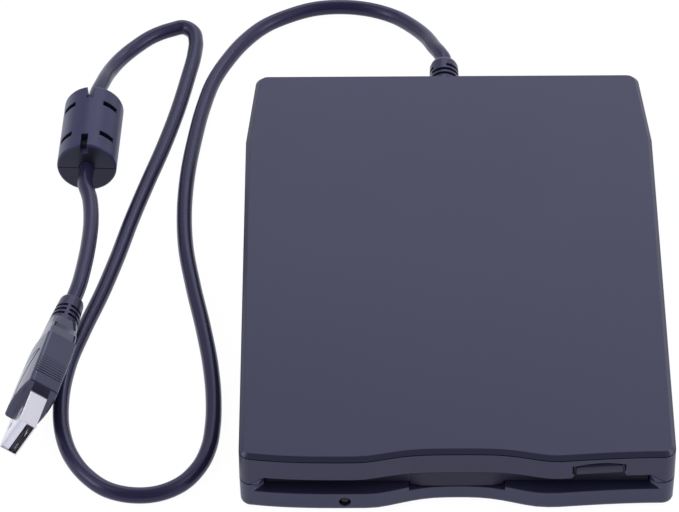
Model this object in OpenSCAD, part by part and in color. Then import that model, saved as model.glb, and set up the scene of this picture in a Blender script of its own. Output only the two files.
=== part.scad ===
// External floppy disk drive for 3.5 inch disks, lying on a table with its cord.
// Millimetres. +X right, +Y towards the back, +Z up, Z = 0 under the rubber feet.

/* [Casing] */
// Width across the two covers
casing_width = 104; // [104:1:110]
// Depth from the front bulges to the rear wall
casing_depth = 142; // [142:1:150]
// Height of the closed covers, without the feet
casing_height = 17; // [17:0.5:20]
// How far each side draws in over its tapered rear part
side_taper = 2.5; // [1.5:0.1:3]
// Length of the tapered rear part of each side
taper_length = 26; // [18:1:30]
// Wall thickness of the covers
wall = 1.8; // [1.6:0.1:1.9]
// Thickness of the top panel and of the floor
panel = 1.5; // [1.2:0.1:1.6]
// Radius of the front corners in plan
front_corner = 3; // [2.5:0.5:4]
// Radius of the rear corners in plan
rear_corner = 3.2; // [2.5:0.1:4]
// Chamfer round the top panel
top_chamfer = 1.05; // [0.5:0.05:1.2]
// Height of the parting line above the floor's underside
seam_height = 7.5; // [7:0.1:8]
// Height and reach of the tongue that locates the covers
seam_tongue = 1; // [0.8:0.1:1.2]
// Depth of the small bevel on both covers that draws the parting line
seam_bevel = 0.15; // [0.05:0.05:0.25]

/* [Front wave] */
// Depth of the dip in the middle of the top cover's front
top_dip = 2.55; // [1.5:0.05:2.8]
// Half the width of that dip
top_dip_half = 24; // [20:1:28]
// Depth of the dip in the middle of the bottom cover's front
lip_dip = 3.45; // [2:0.05:3.6]
// Half the width of that dip
lip_dip_half = 21.5; // [18:0.5:26]
// How far the front falls back at the corners
corner_fall = 1.3; // [0.5:0.1:1.6]

/* [Disk slot] */
// Room between the slot's cheeks and each side of the disk
slot_play = 1; // [0.8:0.1:1.2]
// Height of the slot's lower edge above the floor's underside
slot_bottom = 5.4; // [5:0.1:5.6]
// Height of the slot's upper edge above the floor's underside
slot_top = 10.2; // [10:0.1:10.4]
// How far the flared cheeks open out from the throat to the mouth
cheek_flare = 2.9; // [2:0.1:3]
// Half the width of the notch in the lower lip
lip_notch_half = 11.5; // [9:0.5:13]
// Depth of that notch
lip_notch_depth = 1.1; // [0.6:0.1:1.2]

/* [Disk] */
// Clearance between the disk and each side of its holder
disk_play = 0.2; // [0.1:0.05:0.25]
// Thickness of that disk
disk_thickness = 3.3; // [3.2:0.1:3.4]
// How far a loaded disk is lowered on to the spindle
load_drop = 1.8; // [1.6:0.1:1.8]
// Distance from the disk's leading edge to its hub
hub_setback = 46; // [45:0.5:47]

/* [Door flap] */
// Thickness of the flap
flap_thickness = 0.9; // [0.7:0.1:1]
// Distance of the flap's face behind the front bulges
flap_setback = 4.05; // [3.9:0.05:4.2]
// How far the flap's middle pad stands forward
pad_depth = 0.6; // [0.3:0.1:0.8]
// Radius of the flap's hinge barrel
flap_barrel = 0.6; // [0.5:0.05:0.65]
// Radius of the flap's end pins
flap_pin = 0.45; // [0.4:0.05:0.5]

/* [Eject button] */
// Width of the button
button_width = 11; // [9:0.5:12]
// Height of the button in its middle
button_height = 2.95; // [2.8:0.05:3.3]
// How far the button's upper edge drops towards its ends
button_arch = 0.75; // [0.3:0.05:1]
// Distance of the button's middle from the centre line
button_x = 33.8; // [30:0.1:36]
// Travel of the button and its slide
eject_travel = 5; // [4.5:0.1:5]

/* [Mechanism] */
// Gap between the chassis and each side wall of the casing
side_gap = 2.5; // [2:0.1:3]
// Distance of the chassis behind the front bulges
chassis_setback = 7; // [6.5:0.5:8]
// Room between the chassis and the outside of the rear wall
rear_space = 13; // [12:0.5:15]
// Thickness of the chassis sheet
chassis_sheet = 0.8; // [0.7:0.1:0.8]
// Thickness of the slide sheet
slide_sheet = 0.6; // [0.5:0.1:0.6]
// Thickness of the disk holder sheet
holder_sheet = 0.5; // [0.4:0.1:0.5]
// Radius of the holder's guide pins
guide_pin = 0.95; // [0.8:0.05:1]
// Radius of the spindle rotor
rotor_radius = 16; // [14:0.5:16]
// Radius of the chuck plate on the rotor
chuck_radius = 9.5; // [8:0.5:10]
// Radius of the spindle shaft
spindle_radius = 1.25; // [1:0.05:1.4]
// Radius of the head guide rod
rod_radius = 0.8; // [0.7:0.05:0.85]
// Radius of the lead screw
screw_radius = 1.5; // [1.2:0.1:1.6]
// Travel of the heads from the outer to the inner track
head_travel = 14.8; // [14:0.1:14.8]
// Radius of the stepper motor can
stepper_radius = 5.6; // [5:0.1:5.6]

/* [Feet and screws] */
// Height of the rubber feet below the floor
foot_height = 1; // [0.8:0.1:1.5]
// Radius of each rubber foot
foot_radius = 4.5; // [3.5:0.5:5]
// Radius of the screw shanks
screw_shank = 1; // [0.9:0.05:1.1]
// Radius of the screw heads
screw_head = 1.9; // [1.8:0.1:2.1]

/* [Cord] */
// Diameter of the cord
cord_diameter = 4; // [3.6:0.1:4.2]
// Distance of the cord's outlet from the centre line, to the left
outlet_offset = 0.5; // [0:0.5:10]
// Height of the outlet's axis above the floor's underside
outlet_height = 8.5; // [8:0.1:9]
// Radius of the strain relief at its root
relief_root = 4.1; // [3.5:0.1:4.3]
// Radius of the strain relief at its tip
relief_tip = 3.75; // [3.2:0.05:3.9]
// Length of the strain relief outside the casing
relief_length = 14; // [12:0.5:15]
// Radius of the ferrite's moulded cover
ferrite_radius = 7.7; // [7:0.1:8]
// Length of the ferrite's moulded cover
ferrite_length = 23.6; // [20:0.1:24]

/* [USB plug] */
// Width of the metal shell
shell_width = 12; // [12:0.1:12.1]
// Thickness of the metal shell
shell_thickness = 4.5; // [4.4:0.1:4.5]
// Length of the metal shell outside the grip
shell_length = 11.5; // [10.5:0.1:12]
// Width of the moulded grip
grip_width = 16; // [15:0.5:17]
// Thickness of the moulded grip
grip_thickness = 7.9; // [7:0.1:8]
// Length of the moulded grip up to its relief
grip_length = 28; // [26:1:32]
// Length of the plug's slotted relief
plug_relief_length = 9.5; // [8:0.5:12]

/* [Hidden] */
$fn = 48;
play = 0.3;
fit = 0.1;
run_fit = 0.05;
eps = 0.01;

front_y = -casing_depth / 2;
rear_y = casing_depth / 2;
half_width = casing_width / 2;
rear_half = half_width - side_taper;
shoulder_y = rear_y - taper_length;
floor_z = foot_height;
inner_floor = floor_z + panel;
seam_z = floor_z + seam_height;
top_z = floor_z + casing_height;
ceiling_z = top_z - panel;
slot_low = floor_z + slot_bottom;
slot_high = floor_z + slot_top;

// Widths from the casing inwards: chassis, slide flange, holder, disk, slot.
chassis_half = half_width - wall - side_gap;
flange_out = chassis_half - chassis_sheet - play;
holder_half = flange_out - slide_sheet - play;
disk_half = holder_half - holder_sheet - disk_play;
slot_half = disk_half + slot_play;

// Lengths from the rear wall forwards: chassis, stepper motor, carriage tail, disk, hub.
chassis_front = front_y + chassis_setback;
chassis_rear = rear_y - rear_space;
stepper_length = 6.8;
bracket_rear = chassis_rear - stepper_length - play;
tail_length = 5.3;
tail_rear = bracket_rear - 0.9;
tail_front = tail_rear - tail_length;
holder_rear = tail_front - head_travel - 0.4;
disk_end = holder_rear - 1;
bracket_front = disk_end + 1.6;
hub_y = disk_end - hub_setback;

black = [0.13, 0.13, 0.16];
dark = [0.08, 0.08, 0.1];
steel = [0.72, 0.73, 0.75];
bright = [0.85, 0.85, 0.87];
green = [0.1, 0.32, 0.2];
grey = [0.35, 0.35, 0.38];
white = [0.9, 0.9, 0.88];
copper = [0.72, 0.42, 0.2];
gold = [0.85, 0.68, 0.3];

// ---------- plan outline of the covers ----------
corner_x = half_width - front_corner;
side_angle = atan((half_width - rear_half) / taper_length);
rear_arc_y = rear_y - rear_corner;
rear_arc_x = rear_half + rear_corner * tan(side_angle) - rear_corner / cos(side_angle);
front_steps = 36;
arc_steps = 6;
left_fall_power = 3;

function swell(x, half, power) =
    abs(x) < half ? (1 + cos(180 * pow(abs(x) / half, power))) / 2 : 0;
// The front falls back evenly on the right, and only near the corner on the left.
function fall_share(x) = (abs(x) - top_dip_half) / (corner_x - top_dip_half);
function fall(x) =
    abs(x) < top_dip_half ? 0
    : x > 0 ? corner_fall * sin(90 * fall_share(x))
    : corner_fall * pow(fall_share(x), left_fall_power);
function top_front(x) = front_y + top_dip * swell(x, top_dip_half, 1.8) + fall(x);
function lip_front(x) = front_y + lip_dip * swell(x, lip_dip_half, 1.4) + fall(x);
function front_line(x, lip) = lip ? lip_front(x) : top_front(x);

function arc(cx, cy, r, from, to, steps) =
    [for (i = [0:steps]) let (a = from + (to - from) * i / steps) [cx + r * cos(a), cy + r * sin(a)]];

corner_y = front_y + corner_fall + front_corner;

// Points run anticlockwise from the middle of the rear wall.
function outline(inset, lip) = concat(
    [[0, rear_y - inset]],
    arc(-rear_arc_x, rear_arc_y, rear_corner - inset, 90, 180 - side_angle, arc_steps),
    [[-half_width + inset, shoulder_y]],
    arc(-corner_x, corner_y, front_corner - inset, 180, 270, arc_steps),
    [for (i = [1:front_steps - 1])
        let (x = -corner_x + 2 * corner_x * i / front_steps) [x, front_line(x, lip) + inset]],
    arc(corner_x, corner_y, front_corner - inset, 270, 360, arc_steps),
    [[half_width - inset, shoulder_y]],
    arc(rear_arc_x, rear_arc_y, rear_corner - inset, side_angle, 90, arc_steps)
);

function lifted(points, z) = [for (p = points) [p[0], p[1], z]];
function join(rings) = [for (r = rings) for (p = r) p];

// Skin through rings of as many points each, listed anticlockwise from below to above.
module skin(rings) {
    n = len(rings[0]);
    last = (len(rings) - 1) * n;
    sides = [for (k = [0:len(rings) - 2]) for (i = [0:n - 1]) let (j = (i + 1) % n)
        each [[k * n + i, (k + 1) * n + i, (k + 1) * n + j], [k * n + i, (k + 1) * n + j, k * n + j]]];
    bottom = [for (i = [1:n - 2]) [0, i, i + 1]];
    top = [for (i = [1:n - 2]) [last, last + i + 1, last + i]];
    polyhedron(points = join(rings), faces = concat(bottom, sides, top), convexity = 6);
}

module plan_prism(inset, lip, low, high) {
    translate([0, 0, low])
        linear_extrude(high - low)
            polygon(outline(inset, lip));
}

module box(low, high) {
    translate(low)
        cube(high - low);
}

module rod_x(x, y, z, r, length) {
    translate([x, y, z])
        rotate([0, 90, 0])
            cylinder(r = r, h = length);
}

module rod_y(x, y, z, r, length) {
    translate([x, y, z])
        rotate([-90, 0, 0])
            cylinder(r = r, h = length);
}

module rod_z(x, y, z, r, length) {
    translate([x, y, z])
        cylinder(r = r, h = length);
}

// ---------- slot, door and button, shared by the covers ----------
cheek_out = 2;
slot_mouth_y = front_y + corner_fall;
slot_throat_y = slot_mouth_y + cheek_flare - 0.4;
slot_back = 8;
sill_sheet = 1.1;

module slot_cut(low, high) {
    box([-slot_half, slot_mouth_y - slot_back, low], [slot_half, slot_throat_y + slot_back, high]);
}

// The flare of the right cheek: all of it at the slot's floor, none at the slot's upper edge.
module cheek_wedge() {
    reach = cheek_flare + cheek_out;
    rise = (slot_high - slot_low) * reach / (slot_throat_y - slot_mouth_y);
    polyhedron(
        points = [
            [slot_half - eps, slot_throat_y - reach, slot_low],
            [slot_half + reach, slot_throat_y - reach, slot_low],
            [slot_half - eps, slot_throat_y, slot_low],
            [slot_half - eps, slot_throat_y - reach, slot_low + rise]
        ],
        faces = [[0, 1, 2], [0, 3, 1], [0, 2, 3], [1, 3, 2]]
    );
}

flap_front = front_y + flap_setback;
flap_y = flap_front + flap_thickness / 2;
flap_z = slot_high + 0.7;
flap_half = slot_half - play;
flap_low = slot_low + play;
flap_tab_half = lip_notch_half - play;
notch_low = slot_low - lip_notch_depth;
flap_tab_low = notch_low + 0.4;
pocket_front = flap_y - flap_barrel - play;
pocket_top = flap_z + flap_barrel + 0.55;
ear_thickness = 1.3;
sill_back = flap_y + flap_thickness / 2 + 0.25;
cheek_back = flap_y + 1.3;

// Seen from the front, the top cover's slot corners slope down to the parting line,
// and the cheeks rise from the bottom cover to fill them.
cheek_slope = cheek_flare + 0.9;
cheek_gap = 0.15;

module slot_front(gap, back) {
    translate([0, back, 0])
        rotate([90, 0, 0])
            linear_extrude(back - front_y + 3)
                polygon([[-slot_half - cheek_slope - gap, seam_z - 2], [slot_half + cheek_slope + gap, seam_z - 2],
                    [slot_half + cheek_slope + gap, seam_z], [slot_half + gap, slot_high],
                    [-slot_half - gap, slot_high], [-slot_half - cheek_slope - gap, seam_z]]);
}

button_low = slot_high + 0.95;
button_high = button_low + button_height;
button_back = pocket_front + 0.05;
button_gap = 0.6;
button_slope = 4;
stem_width = 6;
arch_steps = 10;

// Outline of the button and of its recess, seen from the front.
function arch(half, high, low) = concat(
    [[-half, low]],
    [for (i = [0:arch_steps]) let (u = 2 * i / arch_steps - 1) [u * half, high - button_arch * u * u]],
    [[half, low]]
);

module along_front(low, high) {
    translate([button_x, high, 0])
        rotate([90, 0, 0])
            linear_extrude(high - low)
                children();
}

module button_notch() {
    half = button_width / 2 + button_gap;
    along_front(front_y - 2, pocket_front + 2) {
        polygon(arch(half, button_high + button_gap, slot_high - eps));
        polygon([[-half - 0.6, slot_high - eps], [-half, button_low - 0.3], [half, button_low - 0.3],
            [half + 0.6, slot_high - eps]]);
    }
}

// ---------- top cover ----------
screw_boss_x = rear_half - 6.5;
screw_boss_y = rear_y - 6.4;
screw_boss_radius = 3;
rib_depth = 0.7;
rib_width = 0.8;
outer_rib_x = half_width - 16;
inner_rib_x = outer_rib_x / 2;
outlet_x = -outlet_offset;
outlet_z = floor_z + outlet_height;
outlet_neck = relief_tip - 0.2;

module outlet_cut() {
    rod_y(outlet_x, rear_y - wall - 1, outlet_z, outlet_neck, wall + 2);
}

module top_shell() {
    difference() {
        skin([
            lifted(outline(seam_bevel, false), seam_z),
            lifted(outline(0, false), seam_z + seam_bevel),
            lifted(outline(0, false), top_z - top_chamfer),
            lifted(outline(top_chamfer, false), top_z)
        ]);
        plan_prism(wall, false, seam_z - 1, ceiling_z);
        plan_prism(wall / 2, false, seam_z - 1, seam_z + seam_tongue + fit);
    }
}

module top_cover() {
    color(black)
    difference() {
        union() {
            top_shell();
            // hinge ears for the door flap
            for (side = [-1, 1])
                translate([side * (slot_half + 0.05 + ear_thickness / 2), 0, 0])
                    box([-ear_thickness / 2, top_front(slot_half) + 0.6, slot_high],
                        [ear_thickness / 2, cheek_back, ceiling_z + 0.2]);
            // screw bosses at the rear corners
            for (side = [-1, 1])
                rod_z(side * screw_boss_x, screw_boss_y, floor_z + panel + 2.6, screw_boss_radius,
                    ceiling_z - floor_z - panel - 2.4);
            // stiffening ribs under the top panel
            for (x = [-outer_rib_x, -inner_rib_x, inner_rib_x, outer_rib_x])
                box([x - rib_width / 2, front_y + 14, ceiling_z - rib_depth],
                    [x + rib_width / 2, rear_y - 22, ceiling_z + 0.2]);
        }
        slot_front(cheek_gap, cheek_back + cheek_gap);
        slot_cut(seam_z - 1, slot_high);
        box([-slot_half - 0.05, pocket_front, seam_z - 1], [slot_half + 0.05, flap_y + 6, pocket_top]);
        box([button_x - stem_width / 2 - play, pocket_front - 1, seam_z - 1],
            [button_x + stem_width / 2 + play, flap_y + 6, button_high + play]);
        button_notch();
        for (side = [-1, 1])
            rod_x(side * (slot_half + 0.7) - 0.8, flap_y, flap_z, flap_pin + run_fit, 1.6);
        for (side = [-1, 1])
            rod_z(side * screw_boss_x, screw_boss_y, floor_z, screw_shank - 0.1, 10);
        outlet_cut();
    }
}

// ---------- bottom cover ----------
led_x = -(half_width - 25.2);
led_z = floor_z + 2.7;
led_radius = 1.45;
foot_x = half_width - 9;
foot_front_y = front_y + 13;
foot_rear_y = rear_y - 14;
foot_seat = 0.4;
board_post_x = rear_half - 19.5;
board_post_y = rear_y - 7.5;
board_z = inner_floor + 2.5;
chassis_screw_x = chassis_half - 3.7;
chassis_screw_front = front_y + 21;
chassis_screw_rear = chassis_rear - 14;
head_seat = 0.9;

floor_round = 0.8;

module bottom_shell() {
    difference() {
        skin([
            lifted(outline(floor_round, true), floor_z),
            lifted(outline(floor_round * 0.45, true), floor_z + floor_round * 0.35),
            lifted(outline(floor_round * 0.2, true), floor_z + floor_round),
            lifted(outline(0, true), seam_z - seam_bevel),
            lifted(outline(seam_bevel, true), seam_z)
        ]);
        plan_prism(wall, true, inner_floor, seam_z + 1);
    }
}

module seam_lip() {
    difference() {
        plan_prism(wall / 2 + fit, true, seam_z - 1, seam_z + seam_tongue);
        plan_prism(wall, true, seam_z - 2, seam_z + seam_tongue + 1);
        box([-half_width, front_y - 1, seam_z - 3], [half_width, front_y + 8, seam_z + 3]);
    }
}

// Shelf behind the lower lip, on which the slot's floor runs back under the flap.
module slot_sill() {
    intersection() {
        plan_prism(wall / 2, true, notch_low - sill_sheet, slot_low);
        union() {
            box([-slot_half - 1, front_y, slot_low - sill_sheet], [slot_half + 1, sill_back, slot_low]);
            box([-lip_notch_half - 1, front_y, notch_low - sill_sheet], [lip_notch_half + 1, sill_back, notch_low]);
        }
    }
}

module slot_cheeks() {
    intersection() {
        plan_prism(wall / 2, true, slot_low - sill_sheet, seam_z);
        for (side = [0, 1])
            mirror([side, 0, 0])
                box([slot_half - 0.5, front_y, slot_low - sill_sheet], [half_width, cheek_back, seam_z]);
    }
    intersection() {
        plan_prism(0, true, seam_z - seam_bevel - 0.1, slot_high);
        slot_front(-cheek_gap, cheek_back);
        for (side = [0, 1])
            mirror([side, 0, 0])
                box([slot_half - 0.5, front_y, seam_z - seam_bevel - 0.1],
                    [half_width, cheek_back, slot_high - cheek_gap]);
    }
}

module bottom_cover() {
    color(black)
    difference() {
        union() {
            bottom_shell();
            seam_lip();
            slot_sill();
            slot_cheeks();
            for (side = [-1, 1])
                rod_z(side * board_post_x, board_post_y, inner_floor - 0.2, 2.2, board_z - inner_floor + 0.2);
            for (side = [-1, 1])
                rod_z(side * screw_boss_x, screw_boss_y, inner_floor - 0.2, screw_boss_radius, 2.8);
        }
        slot_cut(slot_low, seam_z + 3);
        for (side = [0, 1])
            mirror([side, 0, 0])
                cheek_wedge();
        box([-lip_notch_half, front_y - 1, notch_low], [lip_notch_half, front_y + 8, seam_z]);
        rod_y(led_x, front_y - 1, led_z, led_radius, 8);
        for (side = [-1, 1])
            for (y = [foot_front_y, foot_rear_y])
                rod_z(side * foot_x, y, floor_z - 1, foot_radius + fit, 1 + foot_seat);
        for (side = [-1, 1])
            for (y = [chassis_screw_front, chassis_screw_rear]) {
                rod_z(side * chassis_screw_x, y, floor_z - 1, screw_head + 0.2, 1 + head_seat);
                rod_z(side * chassis_screw_x, y, floor_z, screw_shank + 0.2, 4);
            }
        for (side = [-1, 1]) {
            rod_z(side * screw_boss_x, screw_boss_y, floor_z - 1, screw_head + 0.2, 1 + head_seat);
            rod_z(side * screw_boss_x, screw_boss_y, floor_z, screw_shank + 0.2, 8);
            rod_z(side * board_post_x, board_post_y, inner_floor, screw_shank - 0.1, 6);
        }
        outlet_cut();
    }
}

module rubber_feet() {
    color(dark)
    for (side = [-1, 1])
        for (y = [foot_front_y, foot_rear_y])
            translate([side * foot_x, y, 0])
                rotate_extrude()
                    polygon([[0, 0], [foot_radius - 0.4, 0], [foot_radius, 0.4],
                        [foot_radius, foot_height + foot_seat], [0, foot_height + foot_seat]]);
}

module screw(x, y, z, length) {
    translate([x, y, z])
        difference() {
            union() {
                cylinder(r = screw_head, h = 0.8);
                cylinder(r = screw_shank - 0.1, h = length);
            }
            for (a = [0, 90])
                rotate([0, 0, a])
                    box([-1.2, -0.2, -1], [1.2, 0.2, 0.35]);
        }
}

module cover_screws() {
    color(steel)
    for (side = [-1, 1])
        screw(side * screw_boss_x, screw_boss_y, floor_z + 0.1, 9);
}

module chassis_screws() {
    color(steel)
    for (side = [-1, 1])
        for (y = [chassis_screw_front, chassis_screw_rear])
            screw(side * chassis_screw_x, y, floor_z + 0.1, inner_floor + chassis_sheet - floor_z + 0.2);
}

module board_screws() {
    color(steel)
    for (side = [-1, 1])
        translate([side * board_post_x, board_post_y, board_z + board_sheet + 0.8])
            rotate([180, 0, 0])
                screw(0, 0, 0, 3.6);
}

// ---------- chassis ----------
chassis_top = inner_floor + chassis_sheet;
shield_z = ceiling_z - rib_depth - 0.6;
disk_low = inner_floor + 4.45;
disk_top = disk_low + disk_thickness;
pin_z = disk_low + 2.05;
pin_front_y = front_y + 23;
pin_rear_y = disk_end - 10.5;
carriage_opening_front = hub_y + rotor_radius + 4.5;
rod_x_pos = -12;
rod_z_pos = inner_floor + 1.4;
rod_front = carriage_opening_front - 0.8;
rod_rear = rod_front + 50;
lever_x = -(chassis_half - 11.7);
lever_y = disk_end + 5.5;

module slot_hole(x, y, z, r, rise) {
    rod_x(x, y, z, r, 4);
    rod_x(x, y, z - rise, r, 4);
    box([x, y - r, z - rise], [x + 4, y + r, z]);
}

module chassis() {
    color(steel)
    difference() {
        union() {
            box([-chassis_half, chassis_front, inner_floor], [chassis_half, chassis_rear, chassis_top]);
            for (side = [0, 1])
                mirror([side, 0, 0])
                    box([chassis_half - chassis_sheet, chassis_front + 2, inner_floor],
                        [chassis_half, chassis_rear, shield_z]);
            // rear flange
            box([-chassis_half, chassis_rear - chassis_sheet, inner_floor],
                [-chassis_half + 29.7, chassis_rear, chassis_top + 1.5]);
            // ears for the guide rod
            for (y = [rod_front, rod_rear - chassis_sheet])
                box([rod_x_pos - 2, y, inner_floor], [rod_x_pos + 1, y + chassis_sheet, rod_z_pos + 1.15]);
            // post of the trigger lever
            rod_z(lever_x, lever_y, inner_floor, 1.6, pivot_base - inner_floor);
            rod_z(lever_x, lever_y, inner_floor, 0.9, shield_z - inner_floor);
        }
        // guide slots for the holder's pins
        for (side = [0, 1])
            mirror([side, 0, 0])
                for (y = [pin_front_y, pin_rear_y])
                    slot_hole(chassis_half - 2, y, pin_z, guide_pin + fit, load_drop);
        // opening under the head carriage
        box([rod_x_pos - 5, carriage_opening_front, inner_floor - 1],
            [12.6, rod_rear - chassis_sheet, chassis_top + 1]);
        // opening under the light guide
        box([led_x - 2.5, chassis_front - 1, inner_floor - 1], [led_x + 2.5, led_board_front + 1.6, chassis_top + 1]);
        rod_y(rod_x_pos, rod_front - 1, rod_z_pos, rod_radius, rod_rear - rod_front + 2);
        // bearing seat and lightening holes
        rod_z(0, hub_y, inner_floor - 1, bearing_radius, 3);
        for (side = [-1, 1]) {
            rod_z(side * (chassis_half - 13.7), hub_y - 22, inner_floor - 1, 5, 3);
            rod_z(side * (chassis_half - 13.7), hub_y + 16, inner_floor - 1, 5, 3);
        }
        for (side = [-1, 1])
            box([side * switch_x - 3.6, switch_y - 4.3, inner_floor - 1],
                [side * switch_x + 3.6, switch_y + 4.3, chassis_top + 1]);
        for (side = [-1, 1])
            for (y = [chassis_screw_front, chassis_screw_rear])
                rod_z(side * chassis_screw_x, y, inner_floor - 1, screw_shank - 0.1, 3);
        // windows in the side walls
        for (side = [0, 1])
            mirror([side, 0, 0]) {
                box([chassis_half - 2, chassis_front + 25, shield_z - 5],
                    [chassis_half + 1, hub_y + 26.5, shield_z - 1.6]);
                box([chassis_half - 2, chassis_rear - 33, shield_z - 8],
                    [chassis_half + 1, chassis_rear - 7, shield_z - 1.6]);
            }
    }
}

module top_shield() {
    color(bright)
    difference() {
        box([-chassis_half, chassis_front + 2, shield_z], [chassis_half, chassis_rear, shield_z + 0.4]);
        box([-14, carriage_opening_front - 2, shield_z - 1], [14, rod_rear, shield_z + 1]);
        for (side = [-1, 1])
            rod_z(side * (chassis_half - 17.7), front_y + 40, shield_z - 1, 4, 3);
        rod_z(lever_x, lever_y, shield_z - 1, 0.9 + fit, 3);
        box([-(chassis_half - 17.7), chassis_front, shield_z - 1],
            [chassis_half - 17.7, chassis_front + 5, shield_z + 1]);
    }
}

// ---------- spindle motor ----------
bearing_radius = 3;
board_radius = 24.5;
board_sheet = 1;
motor_board_top = chassis_top + 0.6;
rotor_top = inner_floor + 2.4;
rotor_sheet = 0.5;
coil_count = 12;

module motor_board() {
    color(green)
    difference() {
        union() {
            rod_z(0, hub_y, chassis_top, board_radius, 0.6);
            box([-22, hub_y + 6, chassis_top], [-8, hub_y + 22, motor_board_top]);
            box([8, hub_y + 6, chassis_top], [22, hub_y + 22, motor_board_top]);
        }
        rod_z(0, hub_y, chassis_top - 1, bearing_radius, 3);
        box([-15, carriage_opening_front - 2, chassis_top - 1], [15, carriage_opening_front + 9, chassis_top + 2]);
    }
}

module motor_coils() {
    color(copper)
    for (i = [0:coil_count - 1])
        rotate_about(0, hub_y, i * 360 / coil_count)
            translate([rotor_radius - 5.5, 0, motor_board_top])
                difference() {
                    cylinder(r = 2.2, h = 0.3);
                    translate([0, 0, -1])
                        cylinder(r = 0.8, h = 3);
                }
}

module rotate_about(x, y, a) {
    translate([x, y, 0])
        rotate([0, 0, a])
            children();
}

module spindle_bearing() {
    color(gold)
    translate([0, hub_y, 0])
        rotate_extrude()
            polygon([[spindle_radius + run_fit, inner_floor + 0.1], [bearing_radius, inner_floor + 0.1],
                [bearing_radius, motor_board_top], [bearing_radius + 0.8, motor_board_top],
                [bearing_radius + 0.8, motor_board_top + 0.2], [spindle_radius + run_fit, motor_board_top + 0.2]]);
}

module spindle_rotor() {
    color(bright)
    translate([0, hub_y, 0])
        difference() {
            rotate_extrude()
                polygon([[0, inner_floor + 0.2], [spindle_radius, inner_floor + 0.2],
                    [spindle_radius, rotor_top - rotor_sheet], [rotor_radius, rotor_top - rotor_sheet],
                    [rotor_radius, rotor_top - 0.2], [rotor_radius - 0.2, rotor_top],
                    [spindle_radius, rotor_top], [spindle_radius, disk_low - 0.3],
                    [spindle_radius - 0.3, disk_low - 0.05], [0, disk_low - 0.05]]);
            for (i = [0:5])
                rotate([0, 0, i * 60])
                    translate([rotor_radius - 3.4, 0, rotor_top - 2])
                        cylinder(r = 1.2, h = 4);
        }
}

module chuck_hub() {
    color(grey)
    translate([0, hub_y, 0])
        difference() {
            union() {
                rotate_extrude()
                    polygon([[spindle_radius, rotor_top], [chuck_radius, rotor_top],
                        [chuck_radius, rotor_top + 0.8], [chuck_radius - 0.3, rotor_top + 1.1],
                        [spindle_radius, rotor_top + 1.1]]);
                rotate([0, 0, 35])
                    translate([chuck_radius - 2.4, 0, rotor_top])
                        cylinder(r = 0.8, h = 1.9);
            }
            for (a = [35 + 90, 35 + 180, 35 + 270])
                rotate([0, 0, a])
                    translate([chuck_radius - 3, 0, rotor_top + 0.6])
                        cylinder(r = 1.3, h = 2);
        }
}

// ---------- head drive ----------
screw_x = 16;
screw_z = inner_floor + 6.5;

module stepper_bracket() {
    color(steel)
    difference() {
        union() {
            box([13.3, bracket_front, chassis_top], [22, bracket_rear, chassis_top + 0.8]);
            box([13.3, bracket_front, chassis_top], [18.7, bracket_front + 0.8, screw_z + 2.4]);
            box([9.4, bracket_rear - 0.6, chassis_top], [22.6, bracket_rear, screw_z + stepper_radius]);
        }
        rod_y(screw_x, bracket_front - 1, screw_z, 0.75 + run_fit, 3);
        rod_y(screw_x, bracket_rear - 2, screw_z, 2.2, 3);
    }
}

module stepper_can() {
    color(bright)
    difference() {
        translate([screw_x, bracket_rear, screw_z])
            rotate([-90, 0, 0])
                rotate_extrude()
                    polygon([[0.75 + run_fit, 0], [stepper_radius, 0], [stepper_radius, stepper_length - 0.4],
                        [stepper_radius - 0.4, stepper_length], [0, stepper_length],
                        [0, stepper_length - 1], [0.75 + run_fit, stepper_length - 1]]);
        box([screw_x - stepper_radius - 1, bracket_rear + 2, screw_z - 0.2],
            [screw_x - stepper_radius + 0.4, bracket_rear + 5, screw_z + 0.2]);
    }
}

screw_pitch = 3.75;
thread_lands = floor((bracket_rear - bracket_front - 2.6) / (screw_pitch / 2));

module lead_screw() {
    color(steel)
    union() {
        rod_y(screw_x, bracket_front - 0.3, screw_z, 0.75, bracket_rear - bracket_front + stepper_length - 1.2);
        rod_y(screw_x, bracket_front + 1.1, screw_z, screw_radius - 0.25, bracket_rear - bracket_front - 2);
        // one flat thread land per half turn, seen as a row of collars
        for (i = [0:thread_lands])
            rod_y(screw_x, bracket_front + 1.3 + i * screw_pitch / 2, screw_z, screw_radius, 0.7);
    }
}

module guide_rod() {
    color(bright)
    rod_y(rod_x_pos, rod_front - 0.3, rod_z_pos, rod_radius, rod_rear - rod_front + 0.6);
}

head_y = hub_y + 39.5;
carriage_low = inner_floor + 1;
carriage_top = inner_floor + 2.35;
pivot_y = tail_rear - 2.2;
pivot_z = inner_floor + 9.4;
pivot_pin = 0.8;
arm_half = 9;
arm_lift = 5.3;
arm_reach = pivot_y - head_y;
ear_half = arm_half + play + 2.2;
media_z = disk_low - load_drop + disk_thickness / 2;

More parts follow.
